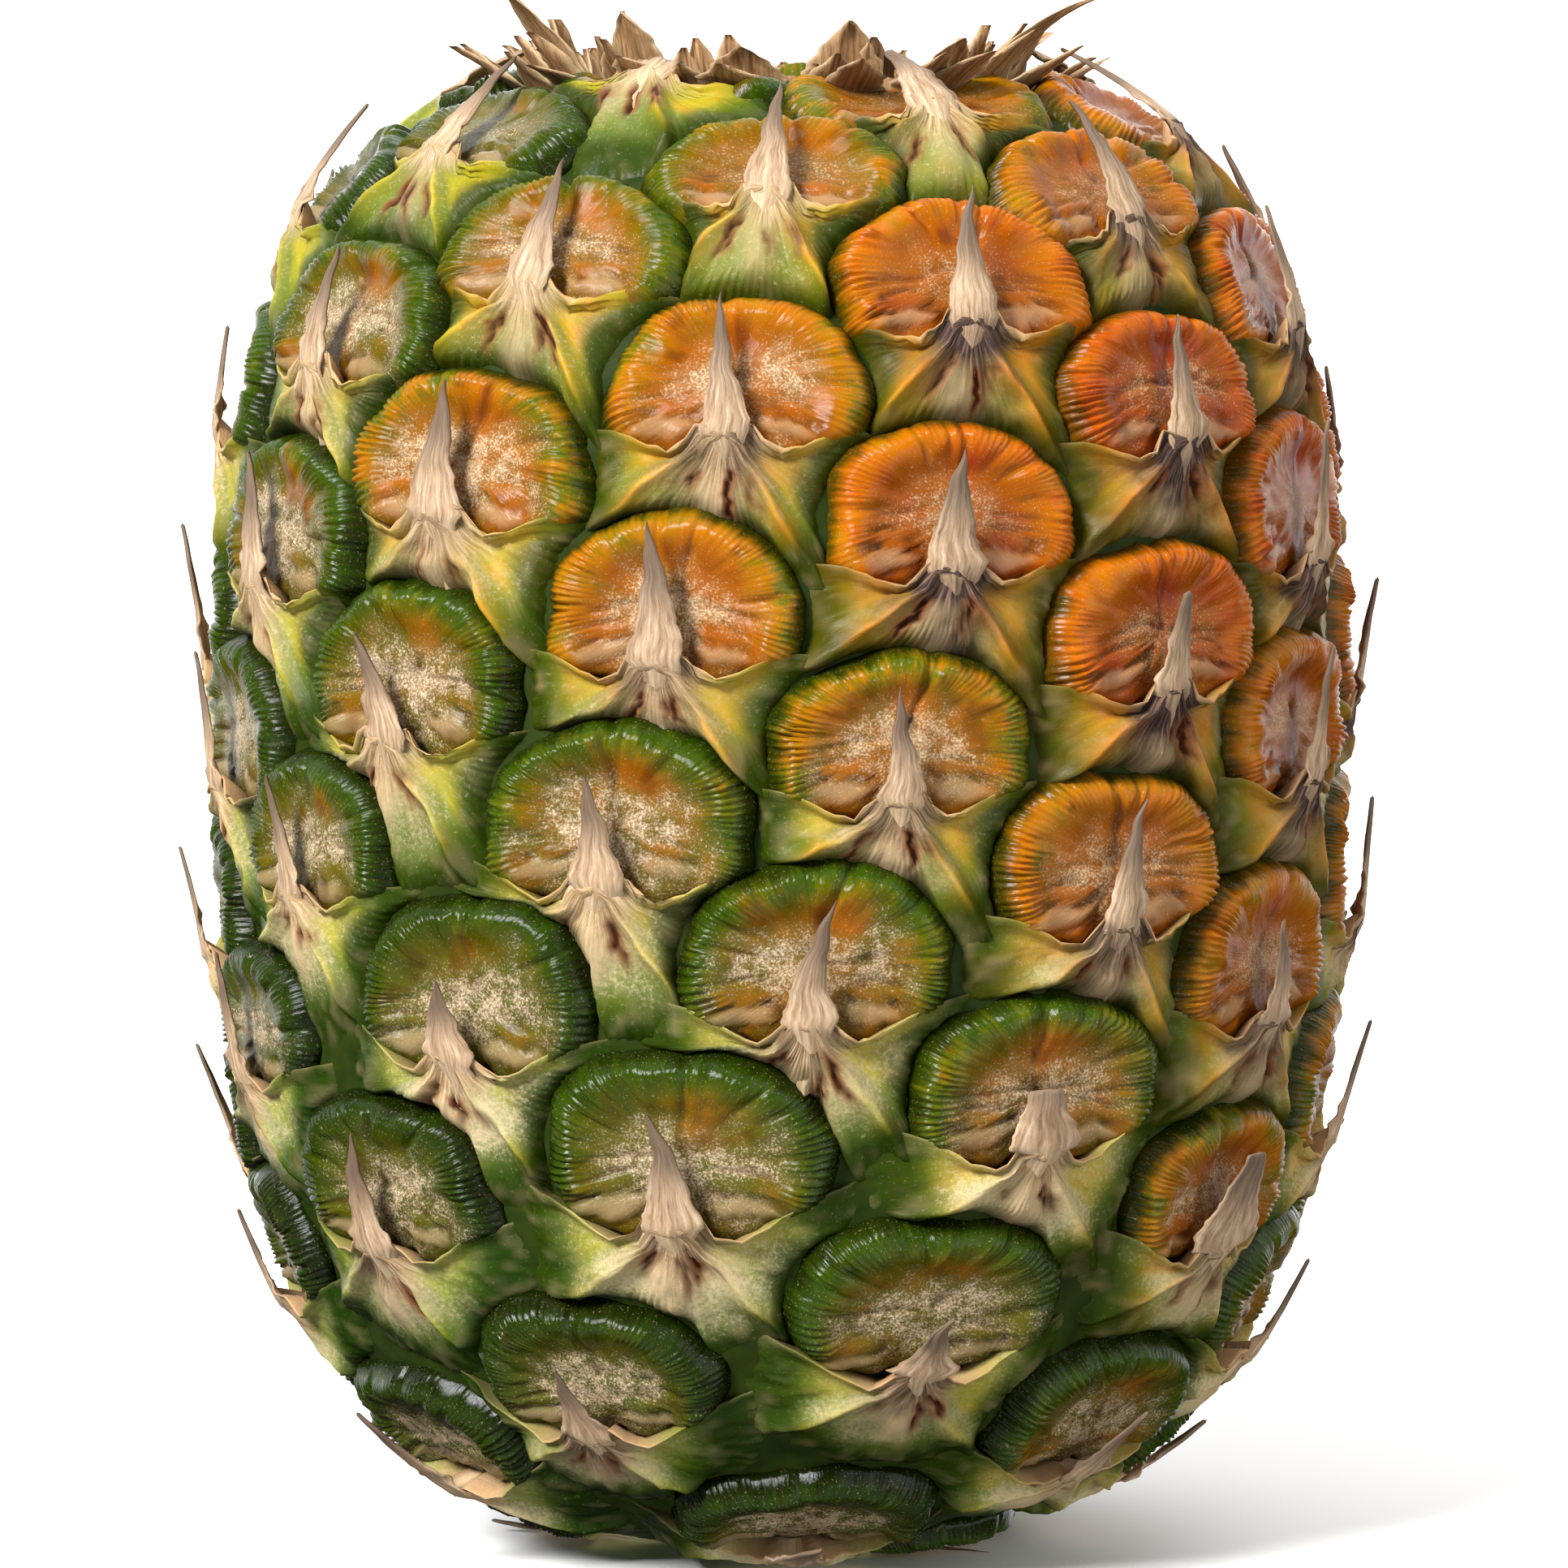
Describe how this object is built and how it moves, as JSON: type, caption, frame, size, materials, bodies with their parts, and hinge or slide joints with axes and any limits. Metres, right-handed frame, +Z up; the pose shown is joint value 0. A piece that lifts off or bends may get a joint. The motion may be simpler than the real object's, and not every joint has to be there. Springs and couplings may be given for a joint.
{
  "type": "unpeeled pineapple without its crown",
  "caption": "Whole ripe pineapple with its rind on and its crown twisted off, standing upright on a flat spot; food for a kitchen, market or fruit bowl.",
  "frame": {"origin": "centre of the flat spot that the fruit stands on", "axes": "+Z up along the core to the scar of the crown; -Y towards the pictured side; +X to its right"},
  "size_m": [0.1306, 0.1297, 0.1678],
  "materials": {
    "rind": "satin",
    "dry_leaf": "matte"
  },
  "bodies": {
    "root": {"fruit": "rind", "crown_leaf_01": "dry_leaf", "crown_leaf_02": "dry_leaf", "crown_leaf_03": "dry_leaf", "crown_leaf_04": "dry_leaf", "crown_leaf_05": "dry_leaf", "crown_leaf_06": "dry_leaf", "crown_leaf_07": "dry_leaf", "crown_leaf_08": "dry_leaf", "crown_leaf_09": "dry_leaf", "crown_leaf_10": "dry_leaf", "crown_leaf_11": "dry_leaf", "crown_leaf_12": "dry_leaf", "crown_leaf_13": "dry_leaf"}
  },
  "joints": []
}
